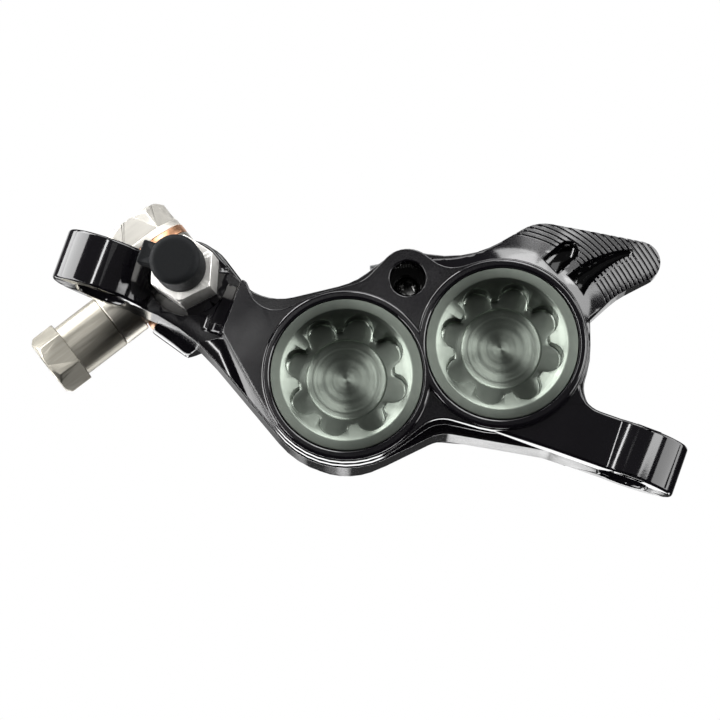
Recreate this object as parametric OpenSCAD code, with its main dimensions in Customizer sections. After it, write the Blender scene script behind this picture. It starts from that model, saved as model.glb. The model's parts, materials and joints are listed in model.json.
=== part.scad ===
// Four-piston post-mount disc brake caliper: one-piece body, pistons, pads and hose connection.
// X runs along the two post bolts, Y along the wheel axle towards the wheel, Z along the bolts.
// The origin is the centre of the left bolt slot on the face that sits on the post.

/* [Post mount] */
// Distance between the two post bolts
post_spacing = 74.2; // [72:0.1:78]
// Radius of each ear about its bolt
ear_r = 7; // [6.2:0.1:7.6]
// Height of each ear along its bolt
ear_h = 7; // [6:0.1:8]
// Width of each bolt slot
slot_w = 6.5; // [6.1:0.1:7]
// Length of each bolt slot, across the bolt line
slot_l = 9.5; // [8:0.1:10.5]

/* [Piston line] */
// Place along X of the point midway between the bores
mid_x = 44.1; // [42:0.1:46]
// Height of the point midway between the bores
mid_z = 5.6; // [4:0.1:7]
// Angle of the line of bores to the line of post bolts
line_tilt = 31; // [27:0.5:34]
// Distance between the two bores
bore_pitch = 21.1; // [20.9:0.1:22]
// Diameter of a piston
piston_d = 16; // [14:0.1:16.4]
// Length of a piston
piston_l = 8.2; // [7:0.1:9]
// Radial running gap of a piston in its bore
piston_gap = 0.05; // [0.02:0.01:0.1]

/* [Depths] */
// Place along Y of the rotor's middle plane
rotor_y = 14; // [13.5:0.1:16]
// Width of the pad pocket between the two halves
pocket_w = 13.2; // [12.8:0.1:14.4]
// Place along Y of the cap rims, the front of the body
front_y = -7.5; // [-8.5:0.1:-7]
// Height that the cap rims stand proud of the front plate
rim_proud = 0.6; // [0.3:0.1:1]
// Depth of each narrow terrace of the outer half's wall
terrace_h = 2.2; // [1.5:0.1:2.6]
// Thickness of the inner half behind the pad pocket
inner_t = 11.8; // [11.2:0.1:14]

/* [Bore caps] */
// Wall left between the two bore caps
cap_web = 0.9; // [0.6:0.05:1.4]
// Width of the flat rim of a cap
cap_rim = 1.25; // [0.9:0.05:1.6]
// Height of a cap from rim to inner face
cap_h = 6.9; // [6.5:0.1:7.2]
// Depth of the lobed recess
recess_h = 5.5; // [4.5:0.1:5.8]
// Depth of the cone that leads into the recess
cone_h = 2.2; // [1.4:0.1:3]
// Radius of the recess inside its lobes
recess_r = 6.4; // [6:0.1:6.8]
// Radius of one lobe
lobe_r = 2; // [1.6:0.05:2.2]
// Number of lobes
lobes = 8; // [6:1:10]
// Wall of the body around a cap
rim_w = 1.25; // [1:0.05:1.5]

/* [Pads] */
// Thickness of a backing plate
plate_t = 2; // [1.6:0.1:2.2]
// Thickness of a new lining
lining_t = 2; // [1.4:0.1:2.2]
// Free gap between the two linings with the pistons pushed home
lining_gap = 4.4; // [4.3:0.1:5]
// Half length of a backing plate along the piston line
plate_half = 18.6; // [17.5:0.1:19.2]
// Half width of the window between the two bridges
window_half = 12.6; // [11.6:0.1:13]
// Radius of the rotor
rotor_r = 90; // [80:1:101.5]
// Radial height of the braking track
track_h = 16.6; // [14:0.1:17]
// Room between the rotor's edge and the bridges
rotor_room = 2; // [1.6:0.1:2.5]
// Diameter of the pad pin
pin_d = 3; // [2.5:0.1:3.4]
// Height of the pad pin above the piston line
pin_p = 11.1; // [10.6:0.1:11.6]
// Thickness of the pad spring's strip
leaf_t = 0.35; // [0.25:0.05:0.5]

/* [Bleed nipple] */
// Width across flats of the nipple's hexagon
nipple_af = 8; // [7:0.1:8.4]
// Height of the nipple's hexagon
nipple_hex_h = 6.3; // [5:0.1:7]
// Diameter of the nipple's threaded shank
nipple_d = 5.9; // [5:0.1:6.4]
// Angle that the nipple leans away from the axle's direction
nipple_lean = 7; // [0:0.5:12]
// Outside diameter of the rubber cap
rubber_d = 6.8; // [6.4:0.1:7.4]

/* [Hose connection] */
// Angle of the banjo bolt's head above the bolt line, seen from outside
banjo_tilt = 57.4; // [50:0.1:62]
// Depth of the banjo's axis behind the post bolts
banjo_y = 12.6; // [12.4:0.1:14]
// Radius of the banjo's eye
eye_r = 6; // [5.4:0.1:6.2]
// Thickness of the banjo's eye
eye_t = 6.8; // [6:0.1:8]
// Thickness of a sealing washer
washer_t = 1.2; // [0.8:0.1:1.6]
// Diameter of the banjo bolt's shank
banjo_bolt_d = 6; // [5:0.1:7]
// Length from the banjo bolt's axis to the seam of the hose nut
seam_l = 9.9; // [9:0.1:11]
// Length of the hose nut
nut_l = 10.6; // [9:0.1:13]
// Width across flats of the hose nut
nut_af = 8; // [7.6:0.1:8.6]
// Diameter of the hose that the nut takes
hose_d = 5; // [4.4:0.1:5.4]

/* [Ridged fin] */
// Radial pitch of the ridges
ridge_pitch = 0.66; // [0.5:0.02:0.9]
// Step down from each ridge to the next
ridge_step = 0.28; // [0.15:0.01:0.3]
// Depth of the furrow between two ridges
furrow_h = 0.24; // [0.1:0.01:0.3]
// Thickness of the fin behind its lowest ridge
fin_t = 3.2; // [2:0.1:4]

/* [Hidden] */
$fn = 64;
// Small overlap that lets cutters pass their faces, and the seating gap of fixed round pieces
over = 0.5;
seat_gap = 0.03;
// Gap round pieces that slide or hang loose
slide_gap = 0.3;
// Reach of a cutter that passes the whole part
far = 60;
// Largest turn of one straight step along an outline's arcs
arc_step = 9;

// Depths worked out from the rotor plane and the front
plate_y = front_y + rim_proud;
terrace_y = plate_y + terrace_h;
shoulder_y = terrace_y + terrace_h;
arm_set = 1.2;
arm_y = front_y + arm_set;
outer_wall_y = rotor_y - pocket_w / 2;
inner_wall_y = rotor_y + pocket_w / 2;
back_y = inner_wall_y + inner_t;
cap_y = front_y + cap_h;
plate_back = lining_gap / 2 + lining_t + plate_t;
piston_face_y = rotor_y - plate_back;
piston_room = 0.8;
bore_end = plate_back + piston_l + piston_room;

// Radii about the bores
bore_r = piston_d / 2 + piston_gap;
cap_d = bore_pitch - cap_web;
cap_r = cap_d / 2;
rim_r = cap_r + rim_w;
plate_margin = 0.2;
terrace_step = 0.2;
front_boss_r = rim_r + plate_margin;
shoulder_boss_r = front_boss_r + 2 * terrace_step;
arm_boss_r = front_boss_r - 0.3;
inner_wall = 2.15;
inner_boss_r = bore_r + inner_wall;
// Square seals in grooves round the pistons
seal_w = 2.2;
seal_depth = 1.1;
seal_side = 0.1;
seal_inset = 1.6;
seal_r = bore_r + seal_depth;
pin_r = pin_d / 2;
lug_wall = 2.9;
lug_r = pin_r + lug_wall;
clear_r = rotor_r + rotor_room;
// Height of the rotor's edge above the line of bores, and depth of its axis below it
rotor_rise = 9;
axle_p = rotor_r - rotor_rise;

// A place on the piston line's own axes, a along it and p across it, as a place in X and Z
function at(a, p) =
    [mid_x + a * cos(line_tilt) - p * sin(line_tilt), mid_z + a * sin(line_tilt) + p * cos(line_tilt)];
// The same, with a counted from the right or the left bore
function by_right(a, p) = at(bore_pitch / 2 + a, p);
function by_left(a, p) = at(-bore_pitch / 2 + a, p);

// Outlines are belts laid round discs: bulge keeps its disc inside, hollow keeps it outside
function bulge(c, r) = [c.x, c.y, r];
function hollow(c, r) = [c.x, c.y, -r];
function heading(f, g) =
    atan2(g.y - f.y, g.x - f.x) - asin((g.z - f.z) / norm([g.x - f.x, g.y - f.y]));
full_turn = 360;
back_turn = 350;
function sweep(d) = let (w = (d % full_turn + full_turn) % full_turn) w > back_turn ? 0 : w;
function belt(discs, grow = 0) =
    let (c = [for (k = discs) k + [0, 0, grow]], n = len(c))
    [for (i = [0 : n - 1])
        let (
            k = c[i],
            t0 = heading(c[(i + n - 1) % n], k),
            t1 = heading(k, c[(i + 1) % n]),
            turn = k.z > 0 ? sweep(t1 - t0) : -sweep(t0 - t1),
            steps = ceil(abs(turn) / arc_step)
        )
        for (j = [0 : steps])
            let (t = steps == 0 ? t0 : t0 + turn * j / steps)
            [k.x + k.z * sin(t), k.y - k.z * cos(t)]];

// A hollow of radius r that lies outside discs f and g, with the same slack to each
function nest(f, g, r, slack) =
    let (
        d = norm([g.x - f.x, g.y - f.y]),
        u = [g.x - f.x, g.y - f.y] / d,
        reach_f = f.z + r + slack,
        reach_g = g.z + r + slack,
        along = (d * d + reach_f * reach_f - reach_g * reach_g) / (2 * d),
        out = sqrt(reach_f * reach_f - along * along)
    )
    hollow([f.x, f.y] + along * u + out * [u.y, -u.x], r);
// A hollow of radius r beside disc f, in the direction turn from the line of bores
function beside(f, r, turn, slack) =
    hollow([f.x, f.y] + (f.z + r + slack) * [cos(turn + line_tilt), sin(turn + line_tilt)], r);

// Discs shared by the outlines
left_bore = by_left(0, 0);
right_bore = by_right(0, 0);
pin_at = at(0, pin_p);
lug = bulge(pin_at, lug_r);
hump_a = 7.95;
hump_p = 9.6;
hump_r = 5.9;
hump_at = by_right(hump_a, hump_p);
nipple_at = [10.4, 6.2];
nipple_boss_r = 5;
nipple_boss = bulge(nipple_at, nipple_boss_r);
// Hollows of the outer half's outline: beside the hump, the lug and the nipple, and below
hump_dip_r = 15;
lug_dip_r = 10;
lug_dip_turn = 129.8;
nipple_dip_r = 7.5;
nipple_dip_turn = 8.3;
belly_r = 25;
chin_r = 4.9;
plate_dip_r = 4;
plate_chin_r = 4.4;
root_r = 3.4;
arm_fillet = 4;
fillet_z = ear_h + arm_fillet;
// Fillet that runs from the right boss into the top of the right ear
function ear_fillet(boss_r) =
    let (reach = boss_r + arm_fillet + 0.02, rise = fillet_z - right_bore.y)
    hollow([right_bore.x + sqrt(reach * reach - rise * rise), fillet_z], arm_fillet);
ear_edge = 0.5;
ear_relief = 0.4;
ear_bottom = bulge([post_spacing, ear_edge], ear_edge);
ear_top = bulge([post_spacing, ear_h - ear_edge], ear_edge);
knee_r = 9;
knee = hollow([post_spacing - ear_r - 3.2, -knee_r], knee_r);

// Wide outline of the outer half, behind its terraces
shoulder_left = bulge(left_bore, shoulder_boss_r);
shoulder_right = bulge(right_bore, shoulder_boss_r);
shoulder_hump = bulge(hump_at, hump_r);
shoulder_outline = [
    ear_bottom,
    ear_top,
    ear_fillet(shoulder_boss_r),
    shoulder_right,
    shoulder_hump,
    nest(shoulder_hump, lug, hump_dip_r, 0.1),
    lug,
    beside(lug, lug_dip_r, lug_dip_turn, 0.43),
    beside(nipple_boss, nipple_dip_r, nipple_dip_turn, 0.6),
    nipple_boss,
    bulge([4.5, 2], 2),
    hollow([5, -belly_r], belly_r),
    shoulder_left,
    nest(shoulder_left, shoulder_right, chin_r, 1.2),
    knee
];

// Place along X of the wall between the front plate and the milled seat of the nipple
recess_x = 17.4;
recess_fillet = 3;
dip_slack = [0.42, 0.68];
// Outline that the front terraces are set in from, with the slack of the dip between the bores
function terrace_outline(dip_slack) =
    let (
        left = shoulder_left,
        right = shoulder_right,
        corner = bulge([recess_x + 0.5, ear_h + 0.2], 0.8)
    )
    [
        right,
        nest(right, lug, plate_dip_r, 0.1),
        lug,
        nest(lug, left, plate_chin_r, 0.5),
        left,
        nest(left, corner, root_r, 0.3),
        corner,
        bulge([recess_x + 1.2, 0.7], 1.5),
        left,
        nest(left, right, plate_dip_r, dip_slack)
    ];

// Outline of the arm that carries the right ear, in front of the shoulder
arm_outline = [
    ear_bottom,
    ear_top,
    ear_fillet(arm_boss_r),
    bulge(right_bore, arm_boss_r),
    knee
];

inner_left = bulge(left_bore, inner_boss_r);
inner_right = bulge(right_bore, inner_boss_r);
inner_corner_left = bulge(by_left(-9.95, 10.5), 3.5);
inner_corner_right = bulge(by_right(9.45, 10.5), 3.5);
inner_outline = [
    inner_right,
    inner_corner_right,
    nest(inner_corner_right, lug, 13, 1),
    lug,
    nest(lug, inner_corner_left, 13, 1),
    inner_corner_left,
    inner_left,
    nest(inner_left, inner_right, 4.4, 1.5)
];

// Extrudes an outline in X and Z from one depth to another
module slab(y0, y1) {
    translate([0, y1, 0])
        rotate([90, 0, 0])
            linear_extrude(y1 - y0)
                children();
}

// Turns a profile of radius against depth about an axis along Y through a place in X and Z
module turned(c) {
    translate([c.x, 0, c.y])
        rotate([-90, 0, 0])
            rotate_extrude()
                children();
}

module rod(c, y0, y1, r) {
    translate([c.x, y0, c.y])
        rotate([-90, 0, 0])
            cylinder(h = y1 - y0, r = r);
}

// Puts children on the piston line's axes, with a along X and p along Z
module on_line() {
    translate([mid_x, 0, mid_z])
        rotate([0, -line_tilt, 0])
            children();
}

// Mirrors children to the other side of the rotor
module inner_side() {
    translate([0, 2 * rotor_y, 0])
        mirror([0, 1, 0])
            children();
}

module outer_half() {
    slab(plate_y, terrace_y + over) polygon(belt(terrace_outline(dip_slack[0]), -2 * terrace_step));
    slab(terrace_y, shoulder_y + over) polygon(belt(terrace_outline(dip_slack[1]), -terrace_step));
    difference() {
        slab(shoulder_y, outer_wall_y) polygon(belt(shoulder_outline));
        translate([post_spacing - ear_r - over, ear_r - ear_relief, -over])
            cube([far, far, far]);
    }
    slab(arm_y, shoulder_y + over) polygon(belt(arm_outline));
    for (c = [left_bore, right_bore])
        rod(c, front_y, outer_wall_y, rim_r);
    recess_root();
}

// Hollow root between the front plate and the milled seat of the nipple
module recess_root() {
    translate([recess_x - recess_fillet, shoulder_y - recess_fillet, 0])
        difference() {
            cube([recess_fillet + over, recess_fillet + over, ear_h]);
            translate([0, 0, -over])
                cylinder(h = ear_h + 2 * over, r = recess_fillet);
        }
}

module ears() {
    for (x = [0, post_spacing])
        translate([x, 0, 0])
            cylinder(h = ear_h, r = ear_r);
}

// Two bridges over the rotor, with the pad window between them
module bridges() {
    bridge_grow = 1;
    left_end = -25.5;
    right_end = 24.5;
    cut_w = pocket_w + 4 * over;
    difference() {
        slab(outer_wall_y - over, inner_wall_y + over) polygon(belt(shoulder_outline, bridge_grow));
        on_line()
            translate([0, outer_wall_y - 2 * over, -far]) {
                translate([-window_half, 0, 0])
                    cube([2 * window_half, cut_w, 2 * far]);
                translate([left_end - far, 0, 0])
                    cube([far, cut_w, 2 * far]);
                translate([right_end, 0, 0])
                    cube([far, cut_w, 2 * far]);
            }
        rotor_cut(outer_wall_y - 2 * over, inner_wall_y + 2 * over, clear_r);
    }
}

// Everything within a radius of the rotor's axis, between two depths
module rotor_cut(y0, y1, r) {
    on_line()
        rod([0, -axle_p], y0, y1, r);
}

// Inner half, stepped in towards the wheel
module inner_half() {
    last_h = 2.8;
    middle_h = 4;
    step_in = [1, 1.7];
    step_2 = back_y - last_h;
    step_1 = step_2 - middle_h;
    slab(inner_wall_y, step_1 + over) polygon(belt(inner_outline));
    slab(step_1, step_2 + over) polygon(belt(inner_outline, -step_in[0]));
    slab(step_2, back_y) polygon(belt(inner_outline, -step_in[1]));
}

// Ridged fin beyond the right bore: a furrowed cone about that bore, trimmed to the fin's outline
fin_drop = 0.15;
smooth_w = 3.65;
ridged_w = 10;
furrow_w = ridge_pitch / 2;
fin_first_r = rim_r + smooth_w;
fin_last_r = fin_first_r + ridged_w;
fin_ridges = ceil(ridged_w / ridge_pitch);
function fin_front(r) = plate_y + fin_drop + (r - front_boss_r) * ridge_step / ridge_pitch;
fin_low_y = fin_front(fin_last_r);
fin_back_y = fin_low_y + fin_t;
fin_hollow_r = 9.3;
fin_tip_r = 2.75;
fin_edge = 0.3;
fin_hollow = hollow(by_right(20.45, -4.7), fin_hollow_r);
fin_hump = bulge(hump_at, hump_r - fin_edge);
fin_lug = bulge(pin_at, lug_r - 4 * fin_edge);
fin_outline = [
    bulge(by_right(6.45, -1), 1),
    fin_hollow,
    bulge(by_right(20.7, 7.9), fin_tip_r),
    fin_hump,
    nest(fin_hump, fin_lug, hump_dip_r, fin_edge),
    fin_lug
];
module fin() {
    inside_r = rim_r - 1;
    outside_r = fin_last_r + 2;
    intersection() {
        turned(right_bore)
            polygon([
                [inside_r, fin_back_y],
                [inside_r, fin_front(inside_r)],
                for (k = [0 : fin_ridges - 1])
                    let (r = fin_first_r + k * ridge_pitch)
                        each [
                            [r, fin_front(r)],
                            [r + furrow_w / 2, fin_front(r + furrow_w / 2) + furrow_h],
                            [r + furrow_w, fin_front(r + furrow_w)]
                        ],
                [outside_r, fin_front(outside_r)],
                [outside_r, fin_back_y]
            ]);
        slab(front_y, fin_back_y) polygon(belt(fin_outline));
    }
}

// Tapered groove between two crossed discs, along the fin's hollow edge
module fin_groove() {
    wall = 4.9;
    half_w = 2.15;
    start_w = 1.5;
    length = 20;
    floor_y = fin_low_y + 0.6;
    lean = 8;
    shift = half_w * [cos(line_tilt - lean), sin(line_tilt - lean)];
    centre = [fin_hollow.x, fin_hollow.y];
    groove_r = wall - fin_hollow.z;
    intersection() {
        difference() {
            rod(centre - shift, front_y, floor_y, groove_r);
            rod(centre + shift, front_y - over, floor_y + over, groove_r);
            rod(right_bore, front_y - over, floor_y + over, rim_r + start_w);
        }
        on_line()
            translate([bore_pitch / 2, front_y - over, 0])
                cube(length);
    }
}

// Blind round-ended pocket in the smooth part of the fin
module fin_pocket() {
    turn = 31;
    half_w = 1.45;
    length = 3.3;
    start_a = 8.4;
    start_p = 9.1;
    on_line()
        translate([bore_pitch / 2 + start_a, 0, start_p])
            rotate([0, -turn, 0]) {
                rod([length, 0], front_y, fin_low_y, half_w);
                translate([0, front_y, -half_w])
                    cube([length, fin_low_y - front_y, 2 * half_w]);
            }
}

// Banjo frame: Z along the bolt towards its head, X away from the hose
banjo_at = [6.5, banjo_y, 6.9];
module on_banjo() {
    translate(banjo_at)
        rotate([0, -banjo_tilt, 0])
            children();
}
seat_z = -eye_t / 2 - washer_t;
head_z = eye_t / 2 + washer_t;
boss_l = 11.5;
boss_margin = 0.35;
boss_end_r = 3;
boss_relief = 3.2;
spot_margin = 0.9;
bolt_reach = 4.6;
drill_room = 0.5;

module banjo_boss() {
    difference() {
        on_banjo()
            translate([0, 0, seat_z - boss_l])
                cylinder(h = boss_l, r1 = boss_end_r, r2 = eye_r + boss_margin);
        rotor_cut(0, inner_wall_y + over, clear_r + boss_relief);
    }
}

// Nipple frame: Z along the nipple, outwards
nipple_sink = 0.6;
nipple_seat_y = shoulder_y + nipple_sink;
module on_nipple() {
    translate([nipple_at.x, nipple_seat_y, nipple_at.y])
        rotate([0, 0, -nipple_lean])
            rotate([90, 0, 0])
                children();
}
nipple_depth = 8;
nipple_corner_r = nipple_af / 2 / cos(30);
nipple_spot_gap = 0.7;

module caliper_body() {
    color("#1c1c1f")
    difference() {
        union() {
            outer_half();
            ears();
            difference() {
                union() {
                    bridges();
                    banjo_boss();
                }
                rotor_cut(banjo_y - eye_r - spot_margin, inner_wall_y + over, clear_r);
            }
            inner_half();
            fin();
        }
        fin_groove();
        fin_pocket();
        // Bores, cap seats and seal grooves
        for (c = [left_bore, right_bore]) {
            rod(c, front_y - over, cap_y, cap_r + seat_gap);
            rod(c, cap_y - over, outer_wall_y + over, bore_r);
            rod(c, inner_wall_y - over, rotor_y + bore_end, bore_r);
            for (y = [outer_wall_y - seal_inset - seal_w, inner_wall_y + seal_inset])
                rod(c, y - seal_side, y + seal_w + seal_side, seal_r);
        }
        // Pad pin: wide from the front, then a close hole, and a seat for the head at the back
        rod(pin_at, plate_y - over, pin_tip_y, pin_r + pin_counter);
        rod(pin_at, pin_tip_y - over, back_y + over, pin_r + seat_gap);
        rod(pin_at, back_y - pin_head_h, back_y + over, pin_head_r + seat_gap);
        // Bolt slots
        for (x = [0, post_spacing])
            translate([x, 0, -over])
                bolt_slot();
        // Spot face and port of the nipple
        on_nipple() {
            cylinder(h = far, r = nipple_corner_r + nipple_spot_gap);
            translate([0, 0, -nipple_depth])
                cylinder(h = nipple_depth + over, r = nipple_d / 2 + piston_gap);
        }
        // Spot face and port of the banjo
        on_banjo() {
            translate([0, 0, seat_z])
                cylinder(h = far, r = eye_r + spot_margin);
            translate([0, 0, seat_z - bolt_reach - drill_room])
                cylinder(h = bolt_reach + drill_room + over, r = banjo_bolt_d / 2 + seat_gap);
        }
    }
}

module bolt_slot() {
    offset_y = (slot_l - slot_w) / 2;
    slot_h = far;
    for (s = [-1, 1])
        translate([0, s * offset_y, 0])
            cylinder(h = slot_h, r = slot_w / 2);
    translate([-slot_w / 2, -offset_y, 0])
        cube([slot_w, 2 * offset_y, slot_h]);
}

// Threaded cap that closes a bore, with a lobed recess for its key
groove_w = 1.3;
groove_depth = 1.1;
oring_r = 0.5;
oring_y = cap_y - 1.6;
lobe_turn = 5;
lobe_reach = 1.85;
module bore_cap(c) {
    floor_y = front_y + recess_h;
    disc_r = recess_r - 1.1;
    disc_h = 0.25;
    lobe_at = recess_r + lobe_reach - lobe_r;
    color("#6a776c")
    difference() {
        turned(c)
            polygon([
                [0, floor_y + disc_h],
                [disc_r, floor_y + disc_h],
                [disc_r, floor_y],
                [recess_r, floor_y],
                [recess_r, front_y + cone_h],
                [cap_r - cap_rim, front_y],
                [cap_r, front_y],
                [cap_r, oring_y - groove_w / 2],
                [cap_r - groove_depth, oring_y - groove_w / 2],
                [cap_r - groove_depth, oring_y + groove_w / 2],
                [cap_r, oring_y + groove_w / 2],
                [cap_r, cap_y],
                [0, cap_y]
            ]);
        for (k = [0 : lobes - 1])
            let (turn = lobe_turn + full_turn * k / lobes)
                rod(c + lobe_at * [cos(turn), sin(turn)], front_y - over, floor_y, lobe_r);
    }
}

module cap_oring(c) {
    color("#141414")
        turned(c)
            translate([cap_r - groove_depth / 2, oring_y])
                circle(r = oring_r, $fn = 24);
}

// Cup piston, open towards its pad
module piston(c) {
    wall = 2;
    edge = 0.4;
    cup_r = piston_d / 2 - wall;
    back = piston_face_y - piston_l;
    color("#9a9a98")
        turned(c)
            polygon([
                [0, back],
                [piston_d / 2 - edge, back],
                [piston_d / 2, back + edge],
                [piston_d / 2, piston_face_y],
                [cup_r, piston_face_y],
                [cup_r, back + wall],
                [0, back + wall]
            ]);
}

module piston_seal(c) {
    y = outer_wall_y - seal_inset - seal_w;
    color("#202020")
        turned(c)
            translate([piston_d / 2 + seat_gap, y])
                square([seal_r - piston_d / 2 - 2 * seat_gap, seal_w]);
}

// Backing plate on the outer side: a sector that clears the bridges, with a tab for the pin
plate_room = 0.8;
lining_room = 0.4;
lining_margin = 0.8;
tab_wall = 1.3;
pad_r = plate_half - bore_pitch / 2;
pad_corner = 1;
pad_outline = [
    bulge([bore_pitch / 2, 0], pad_r),
    bulge([plate_half - pad_corner, rotor_rise], pad_corner),
    bulge([pad_corner - plate_half, rotor_rise], pad_corner),
    bulge([-bore_pitch / 2, 0], pad_r)
];
module pad_plate() {
    shoulder_half = window_half - slide_gap;
    tab_half = 5;
    back = piston_face_y;
    color("#8a7a5c")
        on_line()
            difference() {
                slab(back, back + plate_t) {
                    intersection() {
                        translate([0, -axle_p]) circle(r = clear_r - plate_room, $fn = 180);
                        polygon(belt(pad_outline));
                    }
                    translate([-shoulder_half, 0]) square([2 * shoulder_half, pin_p]);
                    translate([-tab_half, 0]) square([2 * tab_half, pin_p + pin_r + tab_wall]);
                }
                rod([0, pin_p], back - over, back + plate_t + over, pin_r + slide_gap);
            }
}

// Friction lining: the part of the braking track that the plate carries
module pad_lining() {
    y = piston_face_y + plate_t;
    color("#4a4440")
        on_line()
            slab(y, y + lining_t)
                intersection() {
                    translate([0, -axle_p])
                        difference() {
                            circle(r = rotor_r - lining_room, $fn = 180);
                            circle(r = rotor_r - track_h, $fn = 180);
                        }
                    polygon(belt(pad_outline, -lining_margin));
                }
}

// Strip bent over the pin between the two plates, pushing them apart
module pad_spring() {
    plate_clear = 0.1;
    leg = lining_gap / 2 + lining_t - plate_clear;
    spring_half = 4;
    bend_p = pin_p + pin_r + 0.1;
    foot_p = rotor_rise - lining_room + slide_gap;
    color("#b9b9b4")
        on_line()
            difference() {
                translate([-spring_half, rotor_y, 0])
                    rotate([90, 0, 90])
                        linear_extrude(2 * spring_half) {
                            for (x = [-leg, leg - leaf_t])
                                translate([x, foot_p])
                                    square([leaf_t, bend_p - foot_p]);
                            translate([0, bend_p])
                                intersection() {
                                    difference() {
                                        circle(r = leg);
                                        circle(r = leg - leaf_t);
                                    }
                                    translate([-far, 0]) square([2 * far, far]);
                                }
                        }
                rod([0, pin_p], rotor_y - leg - over, rotor_y + leg + over, pin_r + slide_gap);
            }
}

// Pin that carries the pads, put in from the wheel side, with a socket in its head
pin_tip_y = 2.5;
pin_counter = 0.9;
pin_head_r = pin_r + 1;
pin_head_h = 3;
module pad_pin() {
    edge = 0.4;
    head_y = back_y - pin_head_h;
    end_y = back_y - 0.2;
    socket_af = 2.5;
    socket_h = 1.5;
    color("#d6d6d2")
    difference() {
        turned(pin_at)
            polygon([
                [0, pin_tip_y],
                [pin_r - edge, pin_tip_y],
                [pin_r, pin_tip_y + edge],
                [pin_r, head_y],
                [pin_head_r, head_y],
                [pin_head_r, end_y],
                [0, end_y]
            ]);
        translate([pin_at.x, end_y + over, pin_at.y])
            rotate([90, 0, 0])
                cylinder(h = socket_h + over, r = socket_af / 2 / cos(30), $fn = 6);
    }
}

// Bleed nipple: coned tip, threaded shank, hexagon and barbed stem with a drilled bore
stem_r = 2.6;
stem_l = 5;
module bleed_nipple() {
    shank_r = nipple_d / 2;
    top = nipple_hex_h + stem_l;
    tip = -nipple_depth + 0.4;
    tip_r = 1.2;
    neck_r = stem_r - 0.6;
    barb_h = 2.2;
    drill_r = 0.9;
    chamfer = 0.35;
    hex_turn = -14;
    color("#e4e4e0")
    on_nipple()
        difference() {
            union() {
                rotate_extrude()
                    polygon([
                        [0, tip],
                        [tip_r, tip],
                        [shank_r, tip + shank_r - tip_r],
                        [shank_r, over],
                        [neck_r, over],
                        [neck_r, top - barb_h],
                        [stem_r, top - barb_h],
                        [stem_r, top - barb_h / 2],
                        [neck_r, top],
                        [0, top]
                    ]);
                intersection() {
                    rotate([0, 0, hex_turn])
                        cylinder(h = nipple_hex_h, r = nipple_corner_r, $fn = 6);
                    cylinder(h = nipple_hex_h, r1 = nipple_corner_r + nipple_hex_h, r2 = nipple_corner_r - chamfer);
                }
            }
            translate([0, 0, tip + shank_r])
                cylinder(h = far, r = drill_r);
        }
}

// Rubber dust cap pushed over the stem, with its strap lug
module nipple_cap() {
    base = nipple_hex_h + slide_gap;
    roof_t = 1.2;
    ceiling = nipple_hex_h + stem_l + slide_gap;
    roof = ceiling + roof_t;
    outer_r = rubber_d / 2;
    bore = stem_r + piston_gap;
    edge = 0.9;
    lug_size = [3.6, 3.2, 2.4];
    lug_out = 1.9;
    color("#1a1a1a")
    on_nipple() {
        rotate_extrude()
            polygon(concat(
                [[bore, base], [outer_r, base]],
                [for (t = [0 : 15 : 90]) [outer_r - edge + edge * cos(t), roof - edge + edge * sin(t)]],
                [[0, roof], [0, ceiling], [bore, ceiling]]
            ));
        difference() {
            translate([-outer_r - lug_out, -lug_size.y / 2, base + edge])
                cube(lug_size);
            translate([0, 0, base])
                cylinder(h = stem_l, r = bore + 0.2);
        }
    }
}

// Hollow bolt of the hose connector, with a flanged hexagon head
module banjo_bolt() {
    shank_r = banjo_bolt_d / 2;
    head_h = 4.4;
    head_af = 10;
    flange_r = 5.9;
    flange_h = 1;
    color("#e6e2d8")
    on_banjo() {
        translate([0, 0, seat_z - bolt_reach])
            cylinder(h = head_z - seat_z + bolt_reach + over, r = shank_r);
        translate([0, 0, head_z]) {
            cylinder(h = flange_h, r = flange_r);
            intersection() {
                cylinder(h = head_h, r = head_af / 2 / cos(30), $fn = 6);
                cylinder(h = head_h, r1 = head_af, r2 = head_af / 2);
            }
        }
    }
}

module banjo_washer(z) {
    color("#b87333")
        on_banjo()
            translate([0, 0, z])
                difference() {
                    cylinder(h = washer_t, r = eye_r);
                    translate([0, 0, -over])
                        cylinder(h = washer_t + 2 * over, r = banjo_bolt_d / 2 + seat_gap);
                }
}

// Eye, neck and threaded spigot of the hose connector
hose_gap = 0.1;
spigot_wall = 0.6;
spigot_r = hose_d / 2 + spigot_wall;
spigot_l = 5;
nut_r = nut_af / 2 - 0.1;
module banjo_fitting() {
    neck_r = 3.3;
    collar_h = 3.7;
    drill_r = 1.2;
    color("#d8d5cc")
    on_banjo()
        difference() {
            union() {
                translate([0, 0, -eye_t / 2])
                    cylinder(h = eye_t, r = eye_r);
                rotate([0, -90, 0]) {
                    cylinder(h = seam_l, r = neck_r);
                    translate([0, 0, seam_l - collar_h])
                        cylinder(h = collar_h, r = nut_r);
                    cylinder(h = seam_l + spigot_l, r = spigot_r);
                }
            }
            translate([0, 0, -eye_t])
                cylinder(h = 2 * eye_t, r = banjo_bolt_d / 2 + piston_gap);
            rotate([0, -90, 0])
                cylinder(h = far, r = drill_r);
        }
}

// Hose nut: turned shank with a hexagon at its open end
module hose_nut() {
    hex_l = 3.9;
    color("#d2cfc6")
    on_banjo()
        rotate([0, -90, 0])
            translate([0, 0, seam_l])
                difference() {
                    union() {
                        cylinder(h = nut_l - over, r = nut_r);
                        translate([0, 0, nut_l - hex_l])
                            intersection() {
                                cylinder(h = hex_l, r = nut_af / 2 / cos(30), $fn = 6);
                                cylinder(h = hex_l, r1 = nut_af, r2 = nut_r);
                            }
                    }
                    translate([0, 0, -over])
                        cylinder(h = far, r = hose_d / 2 + hose_gap);
                    translate([0, 0, -over])
                        cylinder(h = spigot_l + over + slide_gap, r = spigot_r + seat_gap);
                }
}

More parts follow.
